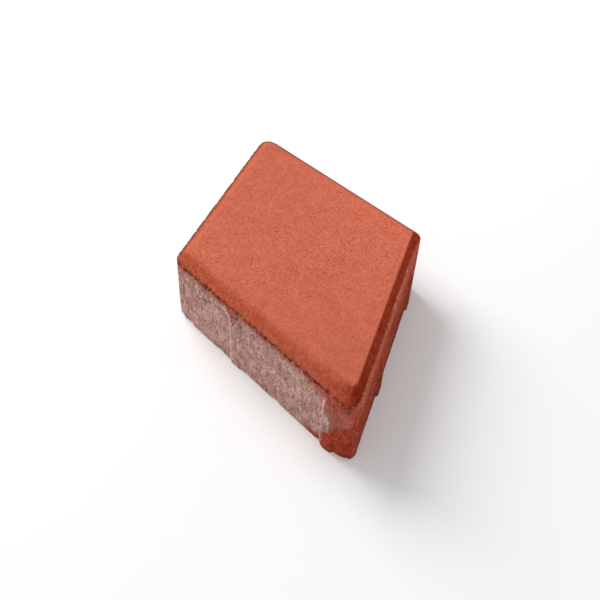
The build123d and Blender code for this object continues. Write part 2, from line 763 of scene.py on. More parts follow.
    def tip_stain(self, here: Place) -> float:
        """Gives the red on the south-east side past its second rib: all of it at the foot, less further up.

        Args:
            here: A place on that side.

        Returns:
            The smear's strength, about 0 to 1.
        """
        along, height = here.along, here.height
        edge = 161.2 + 1.2 * grain(here.point, 6.0 * MM, 4.0)
        edge += 6.2 * window(height, (14.0, 20.0), (31.0, 37.0))
        pale = window(height, (22.0, 28.0), (41.0, 47.0)) * smooth_step(186.0, 178.0, along)
        thin = 0.88 - (0.26 + 0.14 * grain(here.point, 5.0 * MM, 27.0)) * pale
        slant = along - 147.0 + 3.0 * grain(here.point, 7.0 * MM, 21.0)
        full = 1.5 * smooth_step(slant + 6.5, slant - 6.5, height) * smooth_step(edge, edge + 6.0, along)
        high = smooth_step(40.0, 51.0, height) * smooth_step(164.0, 176.0, along)
        return max(thin * smooth_step(edge, edge + 3.0, along), full, high)

    def rib_highlights(self, here: Place) -> float:
        """Gives the painted highlights on the south-east side: the lit flanks of both ribs and the ridge over
        the first.

        Args:
            here: A place on that side.

        Returns:
            The lines' strength, from 0 where there is none.
        """
        along, height, found = here.along, here.height, 0.0
        along += 0.35 * grain(here.point, 6.0 * MM, 31.0)
        first, second = self.marks.first_rib_line, self.marks.second_rib_line
        if height < 42.0:
            found = max(found, 1.7 * (1.0 - abs(along - first) / 1.15))
        if 38.0 < height < 50.0 and 50.0 < here.along < 66.5:
            climb = (height - 38.0) / 10.8
            lean = math.hypot(1.0, 4.15 * climb**2.2)
            off = abs(along - first + 14.0 * climb**3.2) / lean / 1.1
            found = max(found, 1.2 * smooth_step(53.0, 58.0, here.along) * (1.0 - off))
        if 5.0 < height < 46.0:
            width = 1.6 + 0.3 * smooth_step(24.0, 36.0, height)
            level = 0.75 + 0.65 * smooth_step(46.0, 42.0, height) - window(height, (20.5, 23.5), (29.0, 33.0))
            found = max(found, level * (1.0 - abs(along - second + 0.02 * (45.0 - height)) / width))
        return found

    def burr_and_rib_highlight(self, here: Place) -> float:
        """Gives the pale lines: the painted highlights on the ribs and the pale burr on the arris.

        Args:
            here: A place on the skin.

        Returns:
            The lines' strength, from 0 to 1.
        """
        found = self.rib_highlights(here) if here.side == Side.SOUTH_EAST else 0.0
        burr = self.relief.burr(here.point, here.spot) / (0.4 * MM)
        level = 0.58
        if here.side == Side.NORTH_EAST:
            burr = 0.45 + 0.55 * burr
            level += 0.40 * window(here.along, (85.0, 110.0), (145.0, 160.0))
        return min(1.0, max(found, level * burr * (1.0 - abs(here.below - 0.7) / 1.1)))

    def crumb(self, here: Place) -> float:
        """Gives how dark a place on a side is with open grain under the arris, and with the pits' dark red,
        partly painted shade, stronger as they are deeper.

        Args:
            here: A place on a side, or on the arris.

        Returns:
            The darkness, about 0 to 1.
        """
        along, below = here.along, here.below
        reach = 1.5 + 1.3 * grain(here.edge, 5.0 * MM, 41.0) + 1.5 * grain(here.edge, 2.2 * MM, 43.0)
        line = here.spot.mixed(self.marks.open_line) * (1.0 + 0.5 * grain(here.edge, 3.4 * MM, 47.0))
        lowered = 0.0
        if here.side == Side.SOUTH_EAST:
            left = smooth_step(66.0, 50.0, along)
            lowered = window(along, (60.0, 76.0), (166.0, 174.0))
            reach += 3.2 * left + 1.9 * lowered + 0.8 * window(along, (112.0, 124.0), (142.0, 150.0))
            line -= 0.20 * (left + smooth_step(34.0, 24.0, along) + smooth_step(150.0, 156.0, along))
            line += 0.12 * lowered
        line = max(line, 0.62 * smooth_step(14.0, 5.0, here.from_sharp))
        # Painted shade: the dark band reaches further down round the blunt corner on -Y.
        reach += 3.0 * smooth_step(7.0, 3.0, here.from_blunt)
        dark = line * smooth_step(max(0.7, reach), 0.1, below)
        dark *= 1.0 - 0.95 * lowered * smooth_step(1.5, 0.0, below)
        dark *= 1.0 - here.spot.mixed(self.marks.open_line_edge) * smooth_step(1.0, 0.0, below)
        # Painted shade in the pits, by their depth.
        return max(dark, 0.85 * self.relief.pit(here.spot, here.point.z) / MM)

    def painted_light(self, here: Place, rim: float) -> float:
        """Gives the painted light on the facing: painted lighter towards the blunt corner on +Y, painted
        shade towards the sharp ones.

        Args:
            here: A place on the rim or the upper face.
            rim: How far it belongs to the rim.

        Returns:
            The painted brightness, 0.5 where it is even.
        """
        across, along = here.point.y / (80.0 * MM), here.point.x / (130.0 * MM)
        # Painted shade on the rim by the sharp corners.
        fall = here.spot.mixed(self.marks.tip_shade) * smooth_step(52.0, 18.0, here.from_sharp) * rim
        return 0.5 + 0.10 * max(0.0, across) - 0.075 * along * along - fall

    def side_painted_light(self, here: Place) -> float:
        """Gives the painted light and shade on a side: the north-east one darker downwards, high up by the
        sharp corner on +X darker, and every side darker at the foot.

        Args:
            here: A place on a side.

        Returns:
            The painted brightness, 0.5 where it is even.
        """
        height, north_east = here.height, here.spot.shares[Side.NORTH_EAST]
        high = smooth_step(40.0, 48.0, height)
        # Painted shade: the north-east side, turned from the lamp, lighter at the top and darker downwards;
        # high up by the sharp corner on +X darker.
        fall = 0.26 * smooth_step(50.0, 10.0, height) - 0.14
        fall += 0.16 * smooth_step(14.0, 4.0, here.along) * high
        tip = 0.22 * smooth_step(170.0, 182.0, here.along) * high if here.side == Side.SOUTH_EAST else 0.0
        # Painted shade at the foot of every side.
        return 0.5 - north_east * fall - tip - 0.22 * smooth_step(2.4, 0.3, height)

    def far_rim_painted_shade(self, here: Place, inset: float) -> float:
        """Gives the painted shade along the rim of the two far sides, where it rolls away out of sight, and
        round the blunt corner on -Y.

        Args:
            here: A place on the rim or the upper face.
            inset: Its distance from the outline.

        Returns:
            The painted shade's strength, from 0 to 1.
        """
        upper = (0.45 + 0.40 * smooth_step(3.0, 7.0, inset)) * smooth_step(10.0, 7.0, inset)
        far = here.spot.mixed((0.0, 0.0, upper, 0.92 * smooth_step(6.4, 2.4, inset)))
        corner = smooth_step(11.0, 6.0, here.from_blunt) * smooth_step(2.2, 0.6, here.spot.inset / MM)
        return max(far, 0.8 * corner)

    def on_crown(self, here: Place) -> dict[str, float]:
        """Gives the tints of the rim and the upper face.

        Args:
            here: A place there.

        Returns:
            The strength of each tint that isn't 0 there, by name.
        """
        spot, marks = here.spot, self.marks
        inset, from_outline = self.relief.rim_inset(here.point, spot) / MM, spot.inset / MM
        rim = self.rim(here, inset)
        # Painted shade: deeper red on the steep inner band of the south-east rim.
        inner_rim_painted_shade = spot.shares[Side.SOUTH_EAST] * smooth_step(3.0, 6.5, inset)
        inner_rim_painted_shade *= smooth_step(155.0, 110.0, here.along)
        open_width = spot.mixed(marks.crown_open_width)
        open_grain = spot.mixed(marks.crown_open) * smooth_step(open_width, 0.0, from_outline)
        return {
            "facing": 1.0,
            "rim": rim,
            "deep_red_and_shade": self.deep_red_and_shade(here) + 0.30 * inner_rim_painted_shade - 0.1,
            "painted_light": self.painted_light(here, rim),
            "burr_and_rib_highlight": self.burr_and_rib_highlight(here) if from_outline < marks.seam_width else 0.0,
            "crumb": open_grain * self.crumb(self.place(here.edge, spot)),
            "grime_and_shade": self.far_rim_painted_shade(here, inset),
            "coarse": 0.50 + 0.50 * smooth_step(112.0, 40.0, abs(here.point.x / MM + 10.0)),
        }

    def on_wall(self, here: Place) -> dict[str, float]:
        """Gives the tints of the upright sides.

        Args:
            here: A place there.

        Returns:
            The strength of each tint, by name.
        """
        under = smooth_step(6.5, 1.5, here.below) * here.spot.mixed(self.marks.under_grime)
        under *= 1.0 - 0.65 * (smooth_step(140.0, 156.0, here.along) + smooth_step(40.0, 22.0, here.along))
        return {
            "facing": self.facing(here),
            "rim": smooth_step(1.5, 0.0, here.below),
            "deep_red_and_shade": self.deep_red_and_shade(here),
            "painted_light": self.side_painted_light(here),
            "stain": self.stain(here),
            "ash": strongest(self.ASH, here),
            "burr_and_rib_highlight": self.burr_and_rib_highlight(here),
            "crumb": self.crumb(here),
            "grime_and_shade": max(strongest(self.GRIME, here), under),
            "coarse": 0.6,
        }

    def at(self, point: Vector, spot: Spot, band: Band) -> dict[str, float]:
        """Gives the tints of a point.

        Args:
            point: Its place on the clean casting.
            spot: The same place on the plan.
            band: Which part of the skin it is on.

        Returns:
            The strength of each tint that isn't 0 there, by name.
        """
        if band is Band.UNDERSIDE:
            return self.UNDERSIDE
        here = self.place(point, spot)
        return self.on_crown(here) if band is Band.CROWN else self.on_wall(here)


class NodeBench:
    """Short ways to put shader nodes into one node tree."""

    def __init__(self, tree: bpy.types.NodeTree) -> None:
        """Keeps the tree."""
        self.tree = tree

    def add(self, kind: str, **settings: object) -> bpy.types.Node:
        """Adds a node.

        Args:
            kind: The node's type.
            **settings: Its plain settings, by name.

        Returns:
            The node.
        """
        node = self.tree.nodes.new(kind)
        for name, value in settings.items():
            setattr(node, name, value)
        return node

    def feed(self, socket: Socket, value: object) -> None:
        """Links a socket to another, or sets its value.

        Args:
            socket: The input to feed.
            value: An output to link it to, or a plain value.
        """
        if isinstance(value, Socket):
            self.tree.links.new(value, socket)
        else:
            socket.default_value = value

    def fed(self, kind: str, inputs: dict[str | int, object], **settings: object) -> bpy.types.Node:
        """Adds a node and feeds its inputs.

        Args:
            kind: The node's type.
            inputs: What to feed, by the inputs' names or numbers.
            **settings: The node's plain settings, by name.

        Returns:
            The node.
        """
        node = self.add(kind, **settings)
        for name, value in inputs.items():
            self.feed(node.inputs[name], value)
        return node

    def math(self, operation: str, first: object, second: object = 0.0, clamp: bool = False) -> Socket:
        """Adds a Math node and gives its result."""
        settings = {"operation": operation, "use_clamp": clamp}
        return self.fed("ShaderNodeMath", {0: first, 1: second}, **settings).outputs[0]

    def product(self, first: object, second: object) -> Socket:
        """Multiplies two values."""
        return self.math("MULTIPLY", first, second)

    def remap(
        self, value: object, low: object, high: object, to_low: object = 0.0, to_high: object = 1.0
    ) -> Socket:
        """Adds a smooth Map Range node.

        Args:
            value: The value to map.
            low: Where the result is to_low.
            high: Where the result is to_high; it may lie below low.
            to_low: The result at low.
            to_high: The result at high.

        Returns:
            The mapped value.
        """
        inputs = {"Value": value, "From Min": low, "From Max": high, "To Min": to_low, "To Max": to_high}
        return self.fed("ShaderNodeMapRange", inputs, interpolation_type="SMOOTHSTEP").outputs["Result"]

    def mix(self, share: object, first: object, second: object, blend: str = "MIX") -> Socket:
        """Adds a colour Mix node and gives its result."""
        settings = {"data_type": "RGBA", "blend_type": blend, "clamp_factor": True}
        return self.fed("ShaderNodeMix", {0: share, 6: first, 7: second}, **settings).outputs[2]

    def toned(self, colour: object, tone: object, green: float, blue: float) -> Socket:
        """Lightens or darkens a colour by a varying tone.

        Args:
            colour: The colour.
            tone: About 1; below it the colour darkens and grows richer, above it the colour pales.
            green: Power of the tone that the green part follows.
            blue: Power of the tone that the blue part follows.

        Returns:
            The toned colour.
        """
        inputs = {0: tone, 1: self.math("POWER", tone, green), 2: self.math("POWER", tone, blue)}
        return self.mix(1.0, colour, self.fed("ShaderNodeCombineColor", inputs).outputs[0], "MULTIPLY")

    def noise(self, place: object, scale: object, detail: float = 2.0, rough: float = 0.5) -> Socket:
        """Adds a Noise Texture and gives its value."""
        inputs = {"Vector": place, "Scale": scale, "Detail": detail, "Roughness": rough}
        return self.fed("ShaderNodeTexNoise", inputs).outputs["Fac"]

    def shifted(self, place: object, by: float) -> Socket:
        """Moves a place along, so that a second noise there differs from the first."""
        return self.fed("ShaderNodeVectorMath", {0: place, 1: (by, by, by)}, operation="ADD").outputs[0]

    def upright(self, place: object, share: float) -> Socket:
        """Squeezes a place in height, so that what is read there is drawn out upright."""
        inputs = {"Vector": place, "Scale": (1.0, 1.0, share)}
        return self.fed("ShaderNodeMapping", inputs, vector_type="POINT").outputs[0]

    def tint(self, name: str) -> Socket:
        """Reads one of the casting's tints."""
        return self.add("ShaderNodeAttribute", attribute_name=name).outputs["Fac"]

    def group(self, tree: bpy.types.NodeTree, **inputs: object) -> bpy.types.Node:
        """Places a node group; input names have spaces for underscores."""
        named = {name.replace("_", " "): value for name, value in inputs.items()}
        return self.fed("ShaderNodeGroup", named, node_tree=tree)


def new_material(name: str) -> tuple[bpy.types.Material, NodeBench]:
    """Starts an empty material.

    Args:
        name: The material's name.

    Returns:
        The material, and a bench on its node tree.
    """
    made = bpy.data.materials.new(name)
    made.use_nodes = True
    made.node_tree.nodes.clear()
    return made, NodeBench(made.node_tree)


def new_object(name: str, mesh: bmesh.types.BMesh) -> bpy.types.Object:
    """Turns a finished mesh into an object of the scene.

    Args:
        name: The object's name.
        mesh: Its mesh, which is freed.

    Returns:
        The object, at the origin.
    """
    data = bpy.data.meshes.new(name)
    mesh.to_mesh(data)
    mesh.free()
    made = bpy.data.objects.new(name, data)
    bpy.context.scene.collection.objects.link(made)
    return made


def new_group(
    name: str, inputs: dict[str, float | None], outputs: tuple[str, ...]
) -> tuple[NodeBench, dict[str, Socket], dict[str, Socket]]:
    """Starts a shader node group with named sockets.

    Args:
        name: The group's name.
        inputs: Input names with their starting values, None for a place.
        outputs: Names of the value outputs.

    Returns:
        A bench on the group, its input sockets by name, and its output sockets by name.
    """
    tree = bpy.data.node_groups.new(name, "ShaderNodeTree")
    for title, value in inputs.items():
        kind = "NodeSocketVector" if value is None else "NodeSocketFloat"
        socket = tree.interface.new_socket(title, in_out="INPUT", socket_type=kind)
        if value is not None:
            socket.default_value = value
    for title in outputs:
        tree.interface.new_socket(title, in_out="OUTPUT", socket_type="NodeSocketFloat")
    bench = NodeBench(tree)
    start, end = bench.add("NodeGroupInput"), bench.add("NodeGroupOutput")
    return bench, {s.name: s for s in start.outputs if s.name}, {s.name: s for s in end.inputs if s.name}


def ragged_group() -> bpy.types.NodeTree:
    """Makes the group that gives a soft mask a ragged, granular edge.

    Returns:
        The group, with the input Mask's rough-edged form as its output Mask.
    """
    inputs = {"Place": None, "Mask": 0.0, "Grain Scale": 900.0, "Spread": 0.5, "Edge": 0.2}
    bench, given, out = new_group("ragged edge", inputs, ("Mask",))
    rough = bench.noise(given["Place"], given["Grain Scale"], 3.0, 0.65)
    pushed = bench.product(bench.math("SUBTRACT", rough, 0.5), given["Spread"])
    moved = bench.math("ADD", given["Mask"], bench.product(pushed, 2.0))
    low, high = bench.math("SUBTRACT", 0.5, given["Edge"]), bench.math("ADD", 0.5, given["Edge"])
    present = bench.remap(given["Mask"], 0.0, 0.12)
    bench.feed(out["Mask"], bench.product(bench.remap(moved, low, high), present))
    return bench.tree


def grain_group() -> bpy.types.NodeTree:
    """Makes the group for the sandy grain of pressed concrete.

    Returns:
        The group, with a Tone about 1 and the sand's Height as its outputs.
    """
    inputs = {"Place": None, "Sand Scale": 1100.0, "Patch Scale": 60.0, "Sand": 0.2, "Patches": 0.1}
    bench, given, out = new_group("pressed grain", inputs, ("Tone", "Height"))
    sand = bench.noise(given["Place"], given["Sand Scale"], 2.0, 0.7)
    cloud = bench.noise(given["Place"], given["Patch Scale"], 3.0, 0.55)
    sand_part = bench.product(bench.math("SUBTRACT", sand, 0.5), given["Sand"])
    cloud_part = bench.product(bench.math("SUBTRACT", cloud, 0.5), given["Patches"])
    bench.feed(out["Tone"], bench.math("ADD", bench.math("ADD", sand_part, cloud_part), 1.0))
    bench.feed(out["Height"], sand)
    return bench.tree


def pore_group() -> bpy.types.NodeTree:
    """Makes the group for scattered open pores or single grains of another colour.

    Returns:
        The group, with 1 on the pores as its output Mask.
    """
    inputs = {"Place": None, "Scale": 500.0, "Size": 0.3, "Share": 0.2}
    bench, given, out = new_group("scattered pores", inputs, ("Mask",))
    where = {"Vector": given["Place"], "Scale": given["Scale"]}
    cells = bench.fed("ShaderNodeTexVoronoi", where, feature="F1", distance="EUCLIDEAN")
    parts = bench.fed("ShaderNodeSeparateColor", {0: cells.outputs["Color"]})
    chosen = bench.math("LESS_THAN", parts.outputs[0], given["Share"])
    reach = bench.product(given["Size"], bench.math("ADD", 0.5, parts.outputs[1]))
    dot = bench.remap(cells.outputs["Distance"], reach, bench.product(reach, 0.4))
    bench.feed(out["Mask"], bench.product(chosen, dot))
    return bench.tree


@dataclass(frozen=True)
class ConcreteFinish:
    """Colours of the cast concrete, in linear light, and the strength of its fine relief."""

    face: Colour = (0.628, 0.152, 0.089, 1.0)
    # The rim's two colours are partly painted light and shade: the brighter for the rim that faces the lamp,
    # the deeper for the one turned from it.
    rim_bright_and_lit: Colour = (0.520, 0.116, 0.053, 1.0)
    rim_deep_and_shaded: Colour = (0.436, 0.043, 0.0145, 1.0)
    core: Colour = (0.620, 0.348, 0.300, 1.0)
    core_dark: Colour = (0.190, 0.078, 0.058, 1.0)
    core_light: Colour = (0.870, 0.610, 0.540, 1.0)
    smear: Colour = (0.475, 0.072, 0.036, 1.0)
    ash: Colour = (0.640, 0.450, 0.430, 1.0)
    pale: Colour = (0.960, 0.640, 0.540, 1.0)
    blush: Colour = (0.930, 0.400, 0.280, 1.0)
    pore: Colour = (0.310, 0.024, 0.011, 1.0)
    pit: Colour = (0.225, 0.028, 0.014, 1.0)
    light_grain: Colour = (0.900, 0.300, 0.190, 1.0)
    roughness: float = 0.94
    sheen: float = 0.01
    relief: float = 0.35 * MM
    relief_strength: float = 0.8

    def _face(self, bench: NodeBench, place: Socket, tone: Socket) -> Socket:
        """Colours the facing: plain on the upper face, rubbed and deeper towards the rim, where painted light
        and shade differ from side to side.

        Args:
            bench: Bench on the material's tree.
            place: Object coordinates.
            tone: The pressed grain's tone.

        Returns:
            The facing's colour.
        """
        lumps = bench.noise(place, 330.0, 4.0, 0.7)
        deep_red_and_shade = bench.math("ADD", bench.tint("deep_red_and_shade"), bench.remap(lumps, 0.3, 0.7, -0.10, 0.10), clamp=True)
        rim = bench.mix(deep_red_and_shade, self.rim_bright_and_lit, self.rim_deep_and_shaded)
        rim = bench.toned(rim, bench.remap(lumps, 0.3, 0.7, 1.17, 0.81), 1.9, 2.7)
        face = bench.toned(bench.mix(bench.tint("rim"), self.face, rim), tone, 1.7, 2.1)
        coarse = bench.tint("coarse")
        pores = bench.remap(bench.noise(place, 620.0, 3.0, 0.75), 0.54, 0.69, 0.0, coarse)
        face = bench.mix(pores, face, self.pore)
        # On the upper face and rim this tint is painted shade along the far rims and round the blunt corner
        # on -Y.
        face = bench.mix(bench.product(bench.tint("grime_and_shade"), 0.8), face, self.core_dark)
        most = bench.math("SUBTRACT", 0.38, bench.product(bench.tint("rim"), 0.22))
        other = bench.noise(bench.shifted(place, 0.31), 520.0, 2.0, 0.6)
        light = bench.remap(other, 0.50, 0.72, 0.0, bench.product(coarse, most))
        return bench.mix(light, face, self.light_grain)

    def _core(self, bench: NodeBench, place: Socket, ash: Socket) -> Socket:
        """Colours the sides below the facing: pinkish grey, drawn upright in the mould and speckled.

        Args:
            bench: Bench on the material's tree.
            place: Object coordinates.
            ash: Mask of the ash-grey patches.

        Returns:
            The sides' colour.
        """
        streaks = bench.upright(place, 0.7)
        drawn = bench.noise(bench.shifted(streaks, 0.23), 900.0, 3.0, 0.8)
        core = bench.mix(bench.remap(drawn, 0.46, 0.66, 0.0, 0.76), self.core, self.core_light)
        core = bench.mix(bench.product(ash, 0.85), core, self.ash)
        dark = bench.remap(bench.noise(streaks, 680.0, 4.0, 0.8), 0.46, 0.66, 0.0, 0.86)
        core = bench.mix(dark, core, self.core_dark)
        cloud = bench.noise(bench.upright(place, 0.65), 200.0, 4.0, 0.64)
        core = bench.toned(core, bench.remap(cloud, 0.27, 0.73, 0.73, 1.28), 1.2, 1.3)
        drags = bench.noise(bench.upright(place, 0.10), 420.0, 2.0, 0.5)
        return bench.mix(1.0, core, bench.remap(drags, 0.3, 0.7, 0.90, 1.10), "MULTIPLY")

    def _smear(self, bench: NodeBench, place: Socket, tone: Socket) -> Socket:
        """Colours the red that has run down the sides.

        Args:
            bench: Bench on the material's tree.
            place: Object coordinates.
            tone: The pressed grain's tone.

        Returns:
            The smear's colour.
        """
        smear = bench.toned(self.smear, tone, 1.7, 2.2)
        lumps = bench.noise(place, 260.0, 3.0, 0.65)
        smear = bench.toned(smear, bench.remap(lumps, 0.3, 0.7, 0.70, 1.26), 1.6, 2.0)
        rubbed = bench.noise(bench.upright(place, 0.8), 640.0, 4.0, 0.8)
        smear = bench.mix(bench.remap(rubbed, 0.48, 0.66, 0.0, 0.62), smear, self.pit)
        return bench.mix(bench.remap(rubbed, 0.46, 0.34, 0.0, 0.30), smear, self.light_grain)

    def material(self) -> bpy.types.Material:
        """Builds the concrete's material.

        Returns:
            The material, whose colours follow the casting's tints and fine grain.
        """
        made, bench = new_material("cast concrete")
        ragged, grains, pores = ragged_group(), grain_group(), pore_group()
        place = bench.add("ShaderNodeTexCoord").outputs["Object"]

        def mask(name: str, scale: float, spread: float, edge: float) -> Socket:
            """Roughens the edge of one of the casting's tints."""
            given = {"Mask": bench.tint(name), "Grain_Scale": scale, "Spread": spread, "Edge": edge}
            return bench.group(ragged, Place=place, **given).outputs[0]

        sizes = {"Sand_Scale": 640.0, "Patch_Scale": 110.0, "Sand": 0.45, "Patches": 0.28}
        pressed = bench.group(grains, Place=place, **sizes)
        tone = pressed.outputs["Tone"]
        specks = bench.group(pores, Place=place, Scale=420.0, Size=0.20, Share=0.03).outputs["Mask"]
        crumb = mask("crumb", 600.0, 1.2, 0.26)

        face = bench.mix(bench.product(specks, 0.6), self._face(bench, place, tone), self.pit)
        core = self._core(bench, place, mask("ash", 600.0, 1.1, 0.4))
        side = bench.mix(mask("stain", 300.0, 0.42, 0.62), core, self._smear(bench, place, tone))
        marks = bench.remap(bench.noise(place, 340.0, 3.0, 0.65), 0.50, 0.61, 0.0, 0.72)
        # On the sides the same tint is grime, in speckled dark marks.
        side = bench.mix(bench.product(marks, bench.tint("grime_and_shade")), side, self.core_dark)
        colour = bench.mix(mask("facing", 500.0, 0.9, 0.35), side, face)
        # Painted light and shade: this tint multiplies the colour lighter or darker, on the facing and on the
        # sides.
        shade = bench.math("ADD", 0.6, bench.product(bench.tint("painted_light"), 0.8))
        colour = bench.mix(1.0, colour, shade, "MULTIPLY")
        # Pale for the painted highlights on the ribs and the burr on the south-east, blush for the burr on
        # the north-east.
        line = bench.mix(bench.remap(bench.tint("deep_red_and_shade"), 0.62, 0.85), self.pale, self.blush)
        colour = bench.mix(bench.product(mask("burr_and_rib_highlight", 800.0, 0.9, 0.30), 0.85), colour, line)
        # Open grain under the arris, and painted shade in the pits, in the pit colour.
        colour = bench.mix(bench.product(crumb, 0.80), colour, self.pit)

        drawn = bench.noise(bench.upright(place, 0.5), 820.0, 4.0, 0.75)
        heights = bench.math("ADD", pressed.outputs["Height"], bench.product(drawn, 0.8))
        for hollow, depth in ((specks, 1.2), (crumb, 1.6)):
            heights = bench.math("SUBTRACT", heights, bench.product(hollow, depth))
        relief = {"Strength": self.relief_strength, "Distance": self.relief, "Height": heights}
        normal = bench.fed("ShaderNodeBump", relief).outputs[0]
        surface = {"Base Color": colour, "Normal": normal, "Roughness": self.roughness}
        surface["Specular IOR Level"] = self.sheen
        shader = bench.fed("ShaderNodeBsdfPrincipled", surface)
        bench.fed("ShaderNodeOutputMaterial", {"Surface": shader.outputs[0]})
        return made


@dataclass
class PavingStone:
    """The whole casting: one closed block of concrete."""

    sizes: StoneSizes
    steps: MeshSteps
    wear: Wear
    finish: ConcreteFinish

    def _outline(self, mesh: bmesh.types.BMesh, plan: Plan) -> None:
        """Draws the outline on the floor: four arcs joined by four divided sides.

        Args:
            mesh: The empty mesh to draw in.
            plan: The stone's outline.
        """
        radius = self.sizes.corner_radius
        for index, centre in enumerate(plan.centres):
            start = centre + plan.outwards[index - 1] * radius
            first = bmesh.ops.create_vert(mesh, co=(start.x, start.y, 0.0))["vert"]
            bmesh.ops.spin(
                mesh,
                geom=first,
                cent=(centre.x, centre.y, 0.0),
                axis=(0.0, 0.0, 1.0),
                angle=plan.turns[index],
                steps=self.steps.sharp_arc if index % 2 else self.steps.blunt_arc,
            )
        for index, outward in enumerate(plan.outwards):
            ends = [(plan.centres[i % 4] + outward * radius).to_3d() for i in (index, index + 1)]
            pair = [min(mesh.verts, key=lambda vertex: (vertex.co - end).length) for end in ends]
            edge = bmesh.ops.contextual_create(mesh, geom=pair)["edges"][0]
            bmesh.ops.subdivide_edges(mesh, edges=[edge], cuts=self.steps.per_side - 1)

    @staticmethod
    def _grow(mesh: bmesh.types.BMesh, edges: Edges) -> tuple[Points, Edges]:
        """Extrudes a ring of edges.

        Args:
            mesh: The casting.
            edges: The ring's edges.

        Returns:
            The new ring's points and its edges.
        """
        grown = bmesh.ops.extrude_edge_only(mesh, edges=edges)["geom"]
        points = [part for part in grown if isinstance(part, bmesh.types.BMVert)]
        fresh = set(points)
        edges = [part for part in grown if isinstance(part, bmesh.types.BMEdge)]
        return points, [edge for edge in edges if fresh.issuperset(edge.verts)]

    @staticmethod
    def _shift_in(points: Points, plan: Plan, step: float) -> None:
        """Moves points inwards from an outline.

        Args:
            points: The points to move.
            plan: The outline, whose sides and corners give the way in.
            step: How far to move them.
        """
        for point in points:
            outward = plan.locate(point.co.x, point.co.y).outward
            point.co -= Vector((outward.x * step, outward.y * step, 0.0))

    def _wall_heights(self) -> list[float]:
        """Spaces the rings up the sides, closer together at the foot and under the arris.

        Returns:
            The rings' heights above the floor, lowest first.
        """
        steps = self.steps
        foot, top = steps.foot_height, self.sizes.arris - steps.top_depth
        stages = (
            (0.0, foot, steps.foot_rings),
            (foot, top, steps.wall_rings),
            (top, self.sizes.arris, steps.top_rings),
        )
        return [low + (high - low) * i / rings for low, high, rings in stages for i in range(1, rings + 1)]

    @staticmethod
    def _walk(points: Points) -> Points:
        """Puts a ring's points in order.

        Args:
            points: All points of one closed ring, in any order.

        Returns:
            The points, anticlockwise from the one furthest along +X.
        """
        ring = set(points)
        start = max(points, key=lambda point: point.co.x)
        order, seen, here = [start], {start}, start
        while True:
            near = [edge.other_vert(here) for edge in here.link_edges]
            near = [point for point in near if point in ring and point not in seen]
            if not near:
                return order
            here = max(near, key=lambda point: point.co.y) if len(order) == 1 else near[0]
            order.append(here)
            seen.add(here)

    def _thin(self, mesh: bmesh.types.BMesh, points: Points) -> tuple[Points, Edges]:
        """Takes out every second point of an open ring.

        Args:
            mesh: The casting.
            points: The ring's points, in any order.

        Returns:
            The points and edges that are left, in order.
        """
        order = self._walk(points)
        bmesh.ops.dissolve_verts(mesh, verts=order[1::2])
        kept = order[0::2]
        return kept, [mesh.edges.get(pair) for pair in zip(kept, kept[1:] + kept[:1])]

    @staticmethod
    def _fill_face(mesh: bmesh.types.BMesh, order: Points) -> None:
        """Fills the upper face with an even grid between its opposite sides.

        Args:
            mesh: The casting.
            order: The points round the opening, in order.
        """
        quarter = len(order) // 4
        runs = []
        for start in (0, 2 * quarter):
            run = order[start : start + quarter + 1]
            runs += [mesh.edges.get(pair) for pair in zip(run, run[1:])]
        bmesh.ops.grid_fill(mesh, edges=runs, use_smooth=True, use_interp_simple=True)

    def clean_mesh(self, plan: Plan, face: Plan) -> bmesh.types.BMesh:
        """Makes the clean casting: block, rim and faces, finely divided.

        Args:
            plan: The stone's outline.
            face: The outline of the upper face.

        Returns:
            The mesh, with its doubles merged and its faces pointing outwards.
        """
        mesh, steps = bmesh.new(), self.steps
        way = mesh.verts.layers.float_vector.new("way_in")
        self._outline(mesh, plan)
        floor_ring = list(mesh.edges)
        ring, height = floor_ring, 0.0
        for target in self._wall_heights():
            points, ring = self._grow(mesh, ring)
            bmesh.ops.translate(mesh, verts=points, vec=(0.0, 0.0, target - height))
            height = target
        for point in points:
            inner = plan.match(face, point.co)
            inner.z = self.sizes.height
            point[way] = (inner - point.co) / steps.rim_rings
        for _ in range(steps.rim_rings):
            points, ring = self._grow(mesh, ring)
            for point in points:
                point.co += Vector(point[way])
        for gap in steps.face_gaps:
            points, ring = self._grow(mesh, ring)
            self._shift_in(points, face, gap)
        points, ring = self._thin(mesh, points)
        points, ring = self._grow(mesh, ring)
        self._shift_in(points, face, steps.inner_gap)
        points, ring = self._thin(mesh, points)
        self._fill_face(mesh, points)
        ring = floor_ring
        for gap in steps.under_gaps:
            points, ring = self._grow(mesh, ring)
            self._shift_in(points, plan, gap)
            points, ring = self._thin(mesh, points)
        bmesh.ops.triangle_fill(mesh, edges=ring, use_beauty=True, use_dissolve=False)
        many_sided = [part for part in mesh.faces if len(part.verts) > 4]
        bmesh.ops.triangulate(mesh, faces=many_sided, ngon_method="BEAUTY")
        bmesh.ops.remove_doubles(mesh, verts=mesh.verts, dist=WELD)
        bmesh.ops.recalc_face_normals(mesh, faces=mesh.faces)
        mesh.verts.layers.float_vector.remove(way)
        return mesh

    def wear_down(self, mesh: bmesh.types.BMesh, relief: Relief) -> None:
        """Wears and tints the clean casting.

        Args:
            mesh: The clean casting.
            relief: Its ribs and its wear.
        """
        tints = Tints(relief, Marks())
        layers = {name: mesh.verts.layers.float.new(name) for name in Tints.NAMES}
        for vertex in mesh.verts:
            point = vertex.co.copy()
            spot = relief.plan.locate(point.x, point.y)
            if point.z < HAIR and spot.inset > HAIR:
                band = Band.UNDERSIDE
            elif point.z > self.sizes.arris + HAIR:
                band = Band.CROWN
                vertex.co = relief.crown(point, spot)
            else:
                band = Band.WALL
                vertex.co = relief.wall(point, spot)
            values = tints.at(point, spot, band)
            for name, layer in layers.items():
                vertex[layer] = values.get(name, 0.0)

